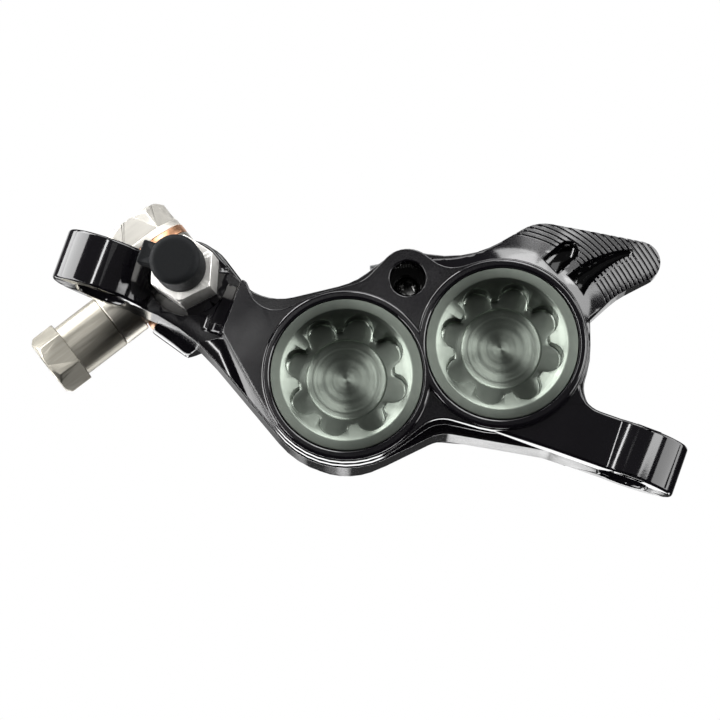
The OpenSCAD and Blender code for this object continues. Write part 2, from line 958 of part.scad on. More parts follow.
module bore_cap_left() { bore_cap(left_bore); }
module bore_cap_right() { bore_cap(right_bore); }
module cap_oring_left() { cap_oring(left_bore); }
module cap_oring_right() { cap_oring(right_bore); }
module piston_outer_left() { piston(left_bore); }
module piston_outer_right() { piston(right_bore); }
module piston_inner_left() { inner_side() piston(left_bore); }
module piston_inner_right() { inner_side() piston(right_bore); }
module seal_outer_left() { piston_seal(left_bore); }
module seal_outer_right() { piston_seal(right_bore); }
module seal_inner_left() { inner_side() piston_seal(left_bore); }
module seal_inner_right() { inner_side() piston_seal(right_bore); }
module pad_plate_outer() { pad_plate(); }
module pad_plate_inner() { inner_side() pad_plate(); }
module pad_lining_outer() { pad_lining(); }
module pad_lining_inner() { inner_side() pad_lining(); }
module banjo_washer_upper() { banjo_washer(eye_t / 2); }
module banjo_washer_lower() { banjo_washer(seat_z); }

caliper_body();
bore_cap_left();
bore_cap_right();
cap_oring_left();
cap_oring_right();
piston_outer_left();
piston_outer_right();
piston_inner_left();
piston_inner_right();
seal_outer_left();
seal_outer_right();
seal_inner_left();
seal_inner_right();
pad_plate_outer();
pad_plate_inner();
pad_lining_outer();
pad_lining_inner();
pad_spring();
pad_pin();
bleed_nipple();
nipple_cap();
banjo_bolt();
banjo_fitting();
banjo_washer_upper();
banjo_washer_lower();
hose_nut();
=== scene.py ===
import json
import math

import bmesh
import bpy
from mathutils import Matrix, Vector
from mathutils.bvhtree import BVHTree


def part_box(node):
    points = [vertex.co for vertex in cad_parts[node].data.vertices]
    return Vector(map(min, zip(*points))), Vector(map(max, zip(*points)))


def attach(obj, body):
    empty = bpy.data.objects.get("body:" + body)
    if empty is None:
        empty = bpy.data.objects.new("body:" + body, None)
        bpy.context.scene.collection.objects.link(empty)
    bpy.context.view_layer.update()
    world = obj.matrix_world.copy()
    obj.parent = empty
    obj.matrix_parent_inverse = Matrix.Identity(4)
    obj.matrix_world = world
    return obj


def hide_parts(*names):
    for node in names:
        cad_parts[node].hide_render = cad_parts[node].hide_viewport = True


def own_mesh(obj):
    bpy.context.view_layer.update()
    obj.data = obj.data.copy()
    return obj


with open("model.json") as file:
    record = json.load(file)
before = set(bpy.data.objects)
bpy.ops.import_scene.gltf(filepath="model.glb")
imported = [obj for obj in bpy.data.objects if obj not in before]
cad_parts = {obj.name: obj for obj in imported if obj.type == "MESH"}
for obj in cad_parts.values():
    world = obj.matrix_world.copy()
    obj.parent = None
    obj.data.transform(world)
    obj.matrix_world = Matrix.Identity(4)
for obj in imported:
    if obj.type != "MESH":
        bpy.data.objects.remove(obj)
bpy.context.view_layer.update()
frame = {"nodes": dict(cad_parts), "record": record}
nodes = frame["nodes"]
record = frame["record"]
bodyOf = {node: body for body, members in record["behaviour"]["bodies"].items() for node in members}
mm = 0.001
print("frame loaded:", len(nodes), "nodes")


def linearColour(hexText):
    # sRGB hex to the linear values that the shaders take
    parts = [int(hexText[i:i + 2], 16) / 255 for i in (1, 3, 5)]
    return [p / 12.92 if p <= 0.04045 else ((p + 0.055) / 1.055) ** 2.4 for p in parts] + [1.0]


def addNode(tree, kind, inputs=None, **settings):
    # one node with its settings, and its inputs given as values or as sockets to link from
    node = tree.nodes.new(kind)
    for name, value in settings.items():
        setattr(node, name, value)
    for name, value in (inputs or {}).items():
        if isinstance(value, bpy.types.NodeSocket):
            tree.links.new(value, node.inputs[name])
        else:
            node.inputs[name].default_value = value
    return node


# camera: the photograph's view, rolled against the line of post bolts and a little from below
cameraView = {
    "roll": math.radians(19.6),
    "rise": math.radians(7.3),
    "distance": 600 * mm,
    "sharpness": 7450.0,           # image pixels per metre at the bolt line
    "aim": Vector((37.1, 0, 3.5)) * mm,
    "aimPixel": (369.3, 363.25),
    "imageSize": 720,
    "sensor": 36.0,
}


def placeCamera(v):
    right = Vector((math.cos(v["roll"]), 0, math.sin(v["roll"])))
    level = Vector((-math.sin(v["roll"]), 0, math.cos(v["roll"])))
    depth = Vector((0, 1, 0))
    forward = math.cos(v["rise"]) * depth + math.sin(v["rise"]) * level
    up = math.cos(v["rise"]) * level - math.sin(v["rise"]) * depth
    middle = v["imageSize"] / 2
    offX, offY = ((p - middle) / v["sharpness"] for p in v["aimPixel"])
    spot = v["aim"] - right * offX + up * offY - forward * v["distance"]
    data = bpy.data.cameras.new("photoCamera")
    data.sensor_width = v["sensor"]
    data.lens = v["sharpness"] * v["distance"] / v["imageSize"] * v["sensor"]
    camera = bpy.data.objects.new("photoCamera", data)
    axes = Matrix((right, up, -forward)).transposed()
    camera.matrix_world = Matrix.Translation(spot) @ axes.to_4x4()
    bpy.context.scene.collection.objects.link(camera)
    bpy.context.scene.camera = camera
    return right, forward, up


viewRight, viewForward, viewUp = placeCamera(cameraView)
print("camera placed")


# studio: white backdrop behind, dark towards the viewer, with soft boxes around
surround = {
    "fillLevel": 0.3,              # what matt surfaces get from all round
    "frontLevel": 0.1,             # what gloss mirrors on the viewer's side
    "backdropFrom": 0.8,           # cosine from the line of sight where the backdrop starts
    "backdropFull": 0.95,
    "lowLevel": 0.04,              # share of the backdrop that is left low down
    "lowTo": -0.12,                # upward share of a ray where that starts to clear
    "lowClear": -0.02,
}
glows = (
    # lit patches that gloss mirrors: way (right, forward, up), inner and outer degrees, level
    ((-0.045, 1.0, -0.272), 1.2, 2.0, 1.0),         # under the terraces
    ((-0.135, 1.0, -0.187), 1.4, 2.4, 1.0),
    ((-0.014, 1.0, -0.258), 0.9, 1.5, 1.8),         # under the right arm
    ((-0.027, -0.967, 0.2545), 0.1, 1.3, 2.1),      # on the plate by the left cap
    ((0.0117, -0.967, 0.2645), 0.05, 0.6, 2.8),     # on the plate between the caps
)
boxCentre = Vector((37, 10, 6)) * mm
softBoxes = {
    # name: (right, towards viewer, up) from the centre in metres, size, watts
    "boxLeft": ((-0.77, 0.0, 0.05), (0.6, 1.0), 15.0),
    "boxRight": ((0.78, 0.05, 0.05), (0.6, 1.0), 8.0),
    "boxTop": ((0.1, 0.1, 0.8), (0.9, 0.5), 5.0),
    "boxHigh": ((-0.5, -0.05, 0.6), (0.45, 0.45), 6.5),
    "boxFinTop": ((0.14, 0.4, 0.68), (0.22, 0.22), 1.4),
    "boxFinHigh": ((0.344, 0.428, 0.584), (0.2, 0.2), 1.0),
    "boxFinGlow": ((0.25, 0.56, 0.5), (0.3, 0.3), 0.6),
    "boxFinMiddle": ((0.48, 0.46, 0.44), (0.2, 0.2), 0.9),
    "boxFinSide": ((0.56, 0.55, 0.1), (0.3, 0.3), 2.5),
    "boxUnder": ((-0.1, -0.62, -0.42), (1.4, 0.3), 5.5),
    "boxStripe": ((-0.36, 0.72, 0.05), (0.06, 0.7), 2.4),
}
paperFloor = {
    "drop": 900 * mm,
    "size": 3.0,
    "tones": ("#f2f2f0", "#f6f6f4"),
    "fibre": 4 * mm,
    "roughness": 0.9,
}


def lightSurround(s):
    bpy.context.scene.view_settings.view_transform = "Standard"
    world = bpy.data.worlds.new("whiteSurround")
    world.use_nodes = True
    bpy.context.scene.world = world
    tree = world.node_tree
    tree.nodes.clear()
    rays = addNode(tree, "ShaderNodeLightPath").outputs
    sight = addNode(tree, "ShaderNodeTexCoord").outputs["Generated"]

    def towards(direction, start, end, low, high):
        # a level that rises as a ray turns towards a direction
        facing = addNode(tree, "ShaderNodeVectorMath", {0: sight, 1: direction},
                         operation="DOT_PRODUCT")
        return addNode(tree, "ShaderNodeMapRange", {
            "Value": facing.outputs["Value"], "From Min": start, "From Max": end, "To Min": low,
            "To Max": high}, interpolation_type="SMOOTHSTEP").outputs["Result"]

    backdrop = towards(viewForward, s["backdropFrom"], s["backdropFull"], s["frontLevel"], 1.0)
    above = towards(viewUp, s["lowTo"], s["lowClear"], s["lowLevel"], 1.0)
    mirrored = addNode(tree, "ShaderNodeMath", {0: backdrop, 1: above},
                       operation="MULTIPLY").outputs[0]
    for (right, forward, up), inner, outer, strength in glows:
        way = (viewRight * right + viewForward * forward + viewUp * up).normalized()
        edge, full = (math.cos(math.radians(turn)) for turn in (outer, inner))
        patch = towards(way, edge, full, 0.0, strength)
        mirrored = addNode(tree, "ShaderNodeMath", {0: mirrored, 1: patch},
                           operation="MAXIMUM").outputs[0]
    sharp = addNode(tree, "ShaderNodeMath", {
        0: rays["Is Glossy Ray"], 1: rays["Is Transmission Ray"]}, operation="MAXIMUM").outputs[0]
    level = addNode(tree, "ShaderNodeMix", {"Factor": sharp, "A": s["fillLevel"], "B": mirrored},
                    data_type="FLOAT").outputs[0]
    seen = addNode(tree, "ShaderNodeMix", {"Factor": rays["Is Camera Ray"], "A": level, "B": 1.0},
                   data_type="FLOAT").outputs[0]
    glow = addNode(tree, "ShaderNodeBackground", {"Color": linearColour("#ffffff"),
                                                  "Strength": seen})
    addNode(tree, "ShaderNodeOutputWorld", {"Surface": glow.outputs[0]})


def hangBoxes(boxes, centre):
    for name, ((right, near, up), size, watts) in boxes.items():
        lamp = bpy.data.lights.new(name, "AREA")
        lamp.shape = "RECTANGLE"
        lamp.size, lamp.size_y = size
        lamp.energy = watts
        box = bpy.data.objects.new(name, lamp)
        offset = viewRight * right - viewForward * near + viewUp * up
        box.location = centre + offset
        box.rotation_euler = (-offset).to_track_quat("-Z", "Y").to_euler()
        box.visible_camera = False
        bpy.context.scene.collection.objects.link(box)


def layFloor(s):
    mesh = bpy.data.meshes.new("floor")
    half = s["size"] / 2
    corners = ((-half, -half), (half, -half), (half, half), (-half, half))
    mesh.from_pydata([(x, y, -s["drop"]) for x, y in corners], [], [(0, 1, 2, 3)])
    floor = bpy.data.objects.new("floor", mesh)
    bpy.context.scene.collection.objects.link(floor)
    # matt paper: white with a faint fibre, and no shine
    paper, tree, shader = startMaterial("paperSweep", {"Roughness": s["roughness"]})
    place = addNode(tree, "ShaderNodeTexCoord").outputs["Object"]
    fibre = addNode(tree, "ShaderNodeTexNoise", {"Vector": place, "Scale": 1 / s["fibre"],
                                                 "Detail": 3.0})
    low, high = (linearColour(tone) for tone in s["tones"])
    tint = addNode(tree, "ShaderNodeMix", {"Factor": fibre.outputs["Fac"], "A": low, "B": high},
                   data_type="RGBA")
    joinShader(tree, shader, {"Base Color": tint.outputs[2]})
    mesh.materials.append(paper)
    floor.visible_glossy = False


def startMaterial(name, sockets):
    # a principled material with what is the same all over set on the shader's own sockets
    material = bpy.data.materials.new(name)
    material.use_nodes = True
    shader = material.node_tree.nodes["Principled BSDF"]
    for socket, value in sockets.items():
        shader.inputs[socket].default_value = value
    return material, material.node_tree, shader


def joinShader(tree, shader, sockets):
    for name, socket in sockets.items():
        tree.links.new(socket, shader.inputs[name])


lightSurround(surround)
hangBoxes(softBoxes, boxCentre)
layFloor(paperFloor)
print("studio lit:", len(softBoxes), "soft boxes")

noiseLow, noiseHigh = 0.3, 0.7     # where most of a noise pattern's values lie

# bright-dipped aluminium dyed black: deep gloss with a faint milled bloom
anodised = {
    "tones": ("#050406", "#0b0a0d"),
    "ior": 1.55,                   # of the clear oxide that holds the dye
    "gloss": (0.07, 0.11),
    "bloomSize": 6 * mm,
    "grainSize": 0.25 * mm,        # coarser than the etch, so that it shows
    "grainDepth": 0.02 * mm,
    "grainStrength": 0.06,
}


def makeBlackAnodised(s):
    material, tree, shader = startMaterial("blackAnodisedAluminium", {"IOR": s["ior"]})
    place = addNode(tree, "ShaderNodeTexCoord").outputs["Object"]
    bloom = addNode(tree, "ShaderNodeTexNoise", {
        "Vector": place, "Scale": 1 / s["bloomSize"], "Detail": 3.0}).outputs["Fac"]
    low, high = (linearColour(tone) for tone in s["tones"])
    tint = addNode(tree, "ShaderNodeMix", {"Factor": bloom, "A": low, "B": high}, data_type="RGBA")
    gloss = addNode(tree, "ShaderNodeMapRange", {
        "Value": bloom, "From Min": noiseLow, "From Max": noiseHigh,
        "To Min": s["gloss"][0], "To Max": s["gloss"][1]})
    grain = addNode(tree, "ShaderNodeTexNoise", {
        "Vector": place, "Scale": 1 / s["grainSize"], "Detail": 2.0}).outputs["Fac"]
    bump = addNode(tree, "ShaderNodeBump", {"Height": grain, "Strength": s["grainStrength"],
                                            "Distance": s["grainDepth"]})
    joinShader(tree, shader, {"Base Color": tint.outputs[2], "Roughness": gloss.outputs["Result"],
                              "Normal": bump.outputs["Normal"]})
    return material


# grey-green anodised caps: lathe rings about the bore, whose sheen fans out as a bow tie
gunmetal = {
    "tones": ("#798078", "#8e958c"),
    "wearSize": 1.5 * mm,
    "sheen": 0.8,
    "ringPitch": 0.22 * mm,        # coarser than the lathe's feed, so that the rings show
    "ringDepth": 0.01 * mm,
    "ringStrength": 0.12,
    "ringWander": 0.6,
    "bandWidth": 0.55 * mm,        # of the duller and brighter turns
    "bandGloss": (0.6, 1.2),
    "floorEdge": (5.2 * mm, 5.6 * mm),
    "floorGloss": (0.39, 0.27),    # inside that edge and outside it
    "rimEdge": (8.7 * mm, 8.9 * mm),
    "rimGloss": (0.29, 0.6),
    # painted shade: the tint of the cap's outer rim is scaled darker, from the first value inside
    # rimEdge to the second outside it
    "rimPaintedShade": (1.0, 0.62),
}


def makeTurnedGunmetal(name, centre, s):
    material, tree, shader = startMaterial(name, {"Metallic": 1.0, "Anisotropic": s["sheen"]})
    place = addNode(tree, "ShaderNodeTexCoord").outputs["Object"]
    local = addNode(tree, "ShaderNodeMapping", {
        "Vector": place, "Location": centre, "Rotation": (math.radians(90), 0, 0)},
        vector_type="TEXTURE").outputs[0]
    outward = addNode(tree, "ShaderNodeVectorMath", {0: place, 1: centre}, operation="SUBTRACT")
    level = addNode(tree, "ShaderNodeVectorMath", {0: outward.outputs[0], 1: (1, 0, 1)},
                    operation="MULTIPLY").outputs[0]
    radial = addNode(tree, "ShaderNodeVectorMath", {0: level}, operation="NORMALIZE")
    radius = addNode(tree, "ShaderNodeVectorMath", {0: level}, operation="LENGTH").outputs["Value"]
    across = {}
    for value, edge in (("rimPaintedShade", "rimEdge"), ("floorGloss", "floorEdge"),
                        ("rimGloss", "rimEdge")):
        across[value] = addNode(tree, "ShaderNodeMapRange", {
            "Value": radius, "From Min": s[edge][0], "From Max": s[edge][1],
            "To Min": s[value][0], "To Max": s[value][1]}).outputs["Result"]
    wear = addNode(tree, "ShaderNodeTexNoise", {"Vector": place, "Scale": 1 / s["wearSize"],
                                                "Detail": 4.0})
    low, high = (linearColour(tone) for tone in s["tones"])
    tint = addNode(tree, "ShaderNodeMix", {"Factor": wear.outputs["Fac"], "A": low, "B": high},
                   data_type="RGBA")
    # painted shade: the tint is darkened on the rim, outside rimEdge
    shaded = addNode(tree, "ShaderNodeVectorMath", {
        0: tint.outputs[2], "Scale": across["rimPaintedShade"]}, operation="SCALE")
    bands = addNode(tree, "ShaderNodeTexNoise", {"W": radius, "Scale": 1 / s["bandWidth"],
                                                 "Detail": 3.0}, noise_dimensions="1D")
    streak = addNode(tree, "ShaderNodeMapRange", {
        "Value": bands.outputs["Fac"], "From Min": noiseLow, "From Max": noiseHigh,
        "To Min": s["bandGloss"][0], "To Max": s["bandGloss"][1]})
    banded = addNode(tree, "ShaderNodeMath", {
        0: across["floorGloss"], 1: streak.outputs["Result"]}, operation="MULTIPLY")
    gloss = addNode(tree, "ShaderNodeMath", {0: banded.outputs[0], 1: across["rimGloss"]},
                    operation="MAXIMUM")
    # a ring wave of scale 1 has its rings pi / 10 apart
    rings = addNode(tree, "ShaderNodeTexWave", {
        "Vector": local, "Scale": math.pi / (10 * s["ringPitch"]), "Distortion": s["ringWander"],
        "Detail": 2.0}, wave_type="RINGS", rings_direction="Z")
    bump = addNode(tree, "ShaderNodeBump", {
        "Height": rings.outputs["Fac"], "Strength": s["ringStrength"], "Distance": s["ringDepth"]})
    joinShader(tree, shader, {"Base Color": shaded.outputs[0], "Roughness": gloss.outputs[0],
                              "Normal": bump.outputs["Normal"], "Tangent": radial.outputs[0]})
    return material


metal = {"Metallic": 1.0}
grainStrength = 0.1


def makeGrained(name, tones, gloss, grain, stretch=(1, 1, 1), turn=(0, 0, 0), depth=0.01 * mm,
                sockets=metal):
    # one tone that drifts into another along its grain, which also breaks the gloss
    material, tree, shader = startMaterial(name, sockets)
    place = addNode(tree, "ShaderNodeTexCoord").outputs["Object"]
    local = addNode(tree, "ShaderNodeMapping", {"Vector": place, "Rotation": turn,
                                                "Scale": stretch}, vector_type="TEXTURE")
    noise = addNode(tree, "ShaderNodeTexNoise", {
        "Vector": local.outputs[0], "Scale": 1 / grain, "Detail": 4.0}).outputs["Fac"]
    low, high = (linearColour(tone) for tone in tones)
    tint = addNode(tree, "ShaderNodeMix", {"Factor": noise, "A": low, "B": high}, data_type="RGBA")
    rough = addNode(tree, "ShaderNodeMapRange", {
        "Value": noise, "From Min": noiseLow, "From Max": noiseHigh,
        "To Min": gloss[0], "To Max": gloss[1]})
    bump = addNode(tree, "ShaderNodeBump", {"Height": noise, "Strength": grainStrength,
                                            "Distance": depth})
    joinShader(tree, shader, {"Base Color": tint.outputs[2], "Roughness": rough.outputs["Result"],
                              "Normal": bump.outputs["Normal"]})
    return material


banjoTurn = (0, math.radians(-57.4), 0)
nippleTurn = (math.radians(90), 0, math.radians(-7))
# lines of brushing and turning are drawn coarser than real ones, so that they show
grained = {
    # bright stainless hexagon: near white with fine lines from the bar it was turned from
    "brightStainless": {"tones": ("#dddbd6", "#efede9"), "gloss": (0.44, 0.5), "grain": 0.3 * mm,
                        "stretch": (1, 1, 12), "turn": nippleTurn, "depth": 0.004 * mm},
    # satin stainless of the banjo fitting: warmer, with longer lines along its barrel
    "satinStainless": {"tones": ("#b4b0a6", "#c8c4ba"), "gloss": (0.34, 0.4), "grain": 0.35 * mm,
                       "stretch": (12, 1, 1), "turn": banjoTurn, "depth": 0.004 * mm},
    # sand-blasted bolt head: pale and dull, with hardly a line left
    "blastedStainless": {"tones": ("#c6c3bc", "#dbd8d1"), "gloss": (0.5, 0.58),
                         "grain": 0.35 * mm, "stretch": (12, 1, 1), "turn": banjoTurn,
                         "depth": 0.004 * mm},
    # brushed nut: grey, with coarse lines along the barrel
    "brushedStainless": {"tones": ("#8f8b80", "#b3afa5"), "gloss": (0.4, 0.5), "grain": 0.3 * mm,
                         "stretch": (14, 1, 1), "turn": banjoTurn, "depth": 0.012 * mm},
    # moulded rubber: matt blue-black with a fine skin
    "mouldedRubber": {"tones": ("#040506", "#0a0c0f"), "gloss": (0.6, 0.75), "grain": 0.4 * mm,
                      "depth": 0.02 * mm, "sockets": {"IOR": 1.52, "Specular IOR Level": 0.15}},
    # square-cut seal rubber: plain dark grey and dull
    "sealRubber": {"tones": ("#141414", "#222222"), "gloss": (0.55, 0.7), "grain": 0.6 * mm,
                   "sockets": {"IOR": 1.52}},
    # annealed copper washer: soft orange, dulled by handling
    "annealedCopper": {"tones": ("#cc936e", "#e2b28f"), "gloss": (0.3, 0.45), "grain": 0.8 * mm},
    # ground piston steel: cool grey with a fine even polish
    "groundSteel": {"tones": ("#9c9e9f", "#bcbdbd"), "gloss": (0.18, 0.28), "grain": 0.3 * mm,
                    "stretch": (6, 1, 6)},
    # plated backing plate: pale yellowish steel with a cloudy plating
    "platedSteel": {"tones": ("#8f8872", "#b4ab90"), "gloss": (0.3, 0.5), "grain": 2.5 * mm},
    # sintered lining: brown-grey crumbs with a dull metal glint
    "sinteredLining": {"tones": ("#2c2723", "#7c6856"), "gloss": (0.6, 0.85), "grain": 0.35 * mm,
                       "depth": 0.08 * mm, "sockets": {"Metallic": 0.3}},
    # rolled spring strip: blue-grey with lines along its length
    "springSteel": {"tones": ("#a4a7aa", "#c8caca"), "gloss": (0.2, 0.3), "grain": 0.3 * mm,
                    "stretch": (1, 10, 1)},
    # polished pin: bright, almost white
    "polishedSteel": {"tones": ("#dededb", "#f2f2f0"), "gloss": (0.1, 0.16), "grain": 0.5 * mm,
                      "stretch": (1, 8, 1)},
}
blackAnodised = makeBlackAnodised(anodised)
materials = {name: makeGrained(name, **values) for name, values in grained.items()}
print("materials ready:", 1 + len(materials))

# body: how far its edges are broken and how its faces shade
bodyEdges = {
    "width": 0.42 * mm,
    "ledgeShare": 0.43,            # of the width, on the narrow ledges of the terraces
    "ledgeLevels": (-6.9 * mm, -4.7 * mm, -2.5 * mm),
    "ledgeSlack": 0.02 * mm,
    "lowSide": 2 * mm,             # height under which the deeper ledges keep their soft shading
    "wallShare": 0.6,              # share of a normal along the axle, under which a terrace is a wall
    "plainWall": 0.1,              # the same for walls that stand square to the plate
    "plainFlat": 0.9995,           # and the share above which a face is a flat of the plate
    "wallTurn": math.cos(math.radians(30)),
    "terraceLean": math.tan(math.radians(9)),
}
finEdges = {
    "turn": math.radians(31),      # of the line through both bores
    "foot": -2 * mm,               # how far below that line the fin still counts
    "from": 11.7 * mm,             # radius about the right bore
    "slope": 0.28 / 0.66,          # rise over run of its cone
    "slack": math.radians(4),
    "flare": math.radians(6),      # how much flatter the cone shades, from one radius to another
    "flareFrom": 11.8 * mm,
    "flareTo": 13.4 * mm,
    "gradeTo": 16 * mm,            # radius up to which its smooth part gets more rows
    "gradeStep": 0.8 * mm,         # longest edge left there
    "hollow": 0.5,                 # how far the floors of groove and pocket shade as if ball-milled
    "rimShare": 0.5,               # bevel of their rims, as far out as the cone is smooth
    "rimTo": 14 * mm,
}
lineAlong = Vector((math.cos(finEdges["turn"]), 0, math.sin(finEdges["turn"])))
lineAcross = Vector((-lineAlong.z, 0, lineAlong.x))
rightBore = sum((Vector(corner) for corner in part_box("bore_cap_right")), Vector()) / 2
finLean = math.atan(finEdges["slope"])


def finReach(spot):
    # the way out from the right bore to a spot on the fin, or nothing elsewhere
    away = spot - rightBore
    away.y = 0
    onFin = away.dot(lineAlong) > 0 and away.dot(lineAcross) > finEdges["foot"]
    return away if onFin and away.length > finEdges["from"] else None


def coneNormal(spot, flare=0.0):
    # the fin's own normal at a spot, flatter by the flare further out
    out = spot - rightBore
    out.y = 0
    start, end = finEdges["flareFrom"], finEdges["flareTo"]
    tilt = finLean - flare * min(max((out.length - start) / (end - start), 0), 1)
    return out.normalized() * math.sin(tilt) - Vector((0, math.cos(tilt), 0))


def onCone(spot, normal):
    return coneNormal(spot).angle(normal) < finEdges["slack"]


def gradeFin(work):
    # more rows on the smooth part of the fin's cone, so that its flare shades evenly
    def graded(face):
        middle = face.calc_center_median()
        away = finReach(middle)
        return away and away.length < finEdges["gradeTo"] and onCone(middle, face.normal)

    while True:
        long = [edge for edge in work.edges
                if edge.calc_length() > finEdges["gradeStep"] and len(edge.link_faces) == 2
                and all(graded(face) for face in edge.link_faces)]
        if not long:
            break
        bmesh.ops.subdivide_edges(work, edges=long, cuts=1)
        bmesh.ops.triangulate(work, faces=[face for face in work.faces if len(face.verts) > 3])


def onLedge(depth, first=0):
    levels = bodyEdges["ledgeLevels"][first:]
    return any(abs(depth - level) < bodyEdges["ledgeSlack"] for level in levels)


def bodyWeight(edge):
    # full width on open edges, less on the terraces and the fin's rims, none among its ridges
    middle = (edge.verts[0].co + edge.verts[1].co) / 2
    away = finReach(middle)
    if away:
        sides = [face.normal for face in edge.link_faces]
        rim = any(onCone(middle, side) for side in sides) and \
            any(abs(side.y) < bodyEdges["plainWall"] for side in sides)
        return finEdges["rimShare"] if rim and away.length < finEdges["rimTo"] else 0.0
    return bodyEdges["ledgeShare"] if onLedge(middle.y) else 1.0


# broken edges, for every solid that keeps the frame's own shape
edgeBreak = {
    "merge": 0.002 * mm,           # points closer than this are one
    "from": 50,                    # degrees of turn under which an edge is left as it is
    "segments": 3,
    "sharpAngle": 27,
    "strayOut": 0.005 * mm,        # how far a bevel's point may leave the solid
    "strayDeep": 0.55,             # or sink into it, as a share of the bevel's width
}


def roundedCopy(nodeName, width, weightOf=None, prepare=None):
    # the frame's own solid with its outer edges broken, as a mesh of its own
    work = bmesh.new()
    work.from_mesh(nodes[nodeName].data)
    bmesh.ops.remove_doubles(work, verts=work.verts, dist=edgeBreak["merge"])
    if prepare:
        prepare(work)
    weights = work.edges.layers.float.new("bevel_weight_edge")
    for edge in work.edges:
        if math.degrees(edge.calc_face_angle_signed(0.0)) > edgeBreak["from"]:
            edge[weights] = weightOf(edge) if weightOf else 1.0
    mesh = bpy.data.meshes.new(nodeName)
    work.to_mesh(mesh)
    work.free()
    piece = bpy.data.objects.new(nodeName + "Rounded", mesh)
    bpy.context.scene.collection.objects.link(piece)
    bevel = piece.modifiers.new("brokenEdges", "BEVEL")
    bevel.limit_method = "WEIGHT"
    bevel.width = width
    bevel.segments = edgeBreak["segments"]
    bevel.use_clamp_overlap = False
    bevel.miter_outer = "MITER_ARC"
    bakeModifiers(piece)
    pullBack(piece.data, nodes[nodeName].data, width)
    return settle(piece, edgeBreak["sharpAngle"])


def pullBack(mesh, solid, width):
    # where two bevels run into each other, stray points go back to the solid's own face
    surface = BVHTree.FromPolygons([vertex.co for vertex in solid.vertices],
                                   [face.vertices[:] for face in solid.polygons])
    deepest = edgeBreak["strayDeep"] * width + edgeBreak["strayOut"]
    for vertex in mesh.vertices:
        spot, normal, _, gap = surface.find_nearest(vertex.co)
        if (vertex.co - spot).dot(normal) > edgeBreak["strayOut"] or gap > deepest:
            vertex.co = spot


def bakeModifiers(piece):
    # the modifiers' result as the piece's own plain mesh
    bpy.context.view_layer.update()
    result = piece.evaluated_get(bpy.context.evaluated_depsgraph_get())
    piece.data = bpy.data.meshes.new_from_object(result)
    piece.modifiers.clear()


def settle(piece, sharpAngle):
    # smooth shading except at sharp edges, led by the larger faces
    piece.data.shade_smooth()
    piece.data.set_sharp_from_angle(angle=math.radians(sharpAngle))
    evener = piece.modifiers.new("evenShading", "WEIGHTED_NORMAL")
    evener.keep_sharp = True
    bakeModifiers(piece)
    return piece


def dress(piece, material, *replaced):
    piece.data.materials.clear()
    piece.data.materials.append(material)
    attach(piece, bodyOf[replaced[0]])
    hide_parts(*replaced)


def wallCorners(mesh):
    # each point's plain walls: their normals, by the angle that each takes up there
    corners = {}
    for face in mesh.polygons:
        if abs(face.normal.y) < bodyEdges["plainWall"]:
            ring = face.vertices[:]
            for i, index in enumerate(ring):
                spot = mesh.vertices[index].co
                back = mesh.vertices[ring[i - 1]].co - spot
                ahead = mesh.vertices[ring[(i + 1) % len(ring)]].co - spot
                pair = (face.normal.copy(), back.angle(ahead, 0.0))
                corners.setdefault(index, []).append(pair)
    return corners


def shadeBody(piece):
    # true normals on the fin's cone, the flats and the walls, hollow ones on terraces and fin floors
    mesh = piece.data
    walls = wallCorners(mesh)
    normals = [corner.vector.copy() for corner in mesh.corner_normals]
    lean = Vector((0, bodyEdges["terraceLean"], 0))
    firstLedge, *_, lastLedge = bodyEdges["ledgeLevels"]
    for face in mesh.polygons:
        steep = abs(face.normal.y)
        depth = face.center.y
        onFin = finReach(face.center)
        cone = onCone(face.center, face.normal)
        terrace = steep < bodyEdges["wallShare"] and firstLedge < depth < lastLedge
        wall = steep < bodyEdges["plainWall"] and not onFin
        flat = steep > bodyEdges["plainFlat"]
        softLedge = onLedge(depth, 1) and face.center.z < bodyEdges["lowSide"]
        for corner in face.loop_indices:
            index = mesh.loops[corner].vertex_index
            near = walls.get(index, [])
            if flat and onFin:
                inward = sum((normal * angle for normal, angle in near), Vector()).normalized()
                normals[corner] = (face.normal + inward * finEdges["hollow"]).normalized()
            elif flat and not softLedge:
                normals[corner] = face.normal.copy()
            elif wall:
                alike = [normal * angle for normal, angle in near
                         if normal.dot(face.normal) > bodyEdges["wallTurn"]]
                normals[corner] = sum(alike, Vector()).normalized()
            if cone:
                normals[corner] = coneNormal(mesh.vertices[index].co, finEdges["flare"])
            elif terrace:
                normals[corner] = (normals[corner] - lean).normalized()
    mesh.normals_split_custom_set(normals)


body = roundedCopy("caliper_body", bodyEdges["width"], bodyWeight, gradeFin)
shadeBody(body)
dress(body, blackAnodised, "caliper_body")
print("body rounded:", len(body.data.polygons), "faces")

# bore caps: a turned blank whose recess is pushed out into lobes
capShape = {
    "radius": 10.07 * mm,
    "rim": 1.25 * mm,
    "height": 6.9 * mm,
    "recessDepth": 5.5 * mm,
    "coneDepth": 2.2 * mm,
    "recessRadius": 6.4 * mm,
    "discRadius": 5.3 * mm,
    "discSink": 0.25 * mm,
    "dishFrom": 3.4 * mm,
    "dishTo": 4.4 * mm,
    "dishSink": 0.2 * mm,
    "dishRound": 0.2,              # share of the sink that each end of the dish's slope rounds off
    "edge": 0.14 * mm,
    "edgeRound": 0.3,              # share of a broken edge between its first and second row
    "grooveFrom": 4.65 * mm,
    "grooveTo": 5.95 * mm,
    "grooveRadius": 9.0 * mm,
    "segments": 192,
    "sharpAngle": 28,
}
capLobes = {
    "Lobes": 8,
    "Lobe Radius": 2 * mm,
    "Lobe Circle": 6.25 * mm,
    "Turn": math.radians(5),
}


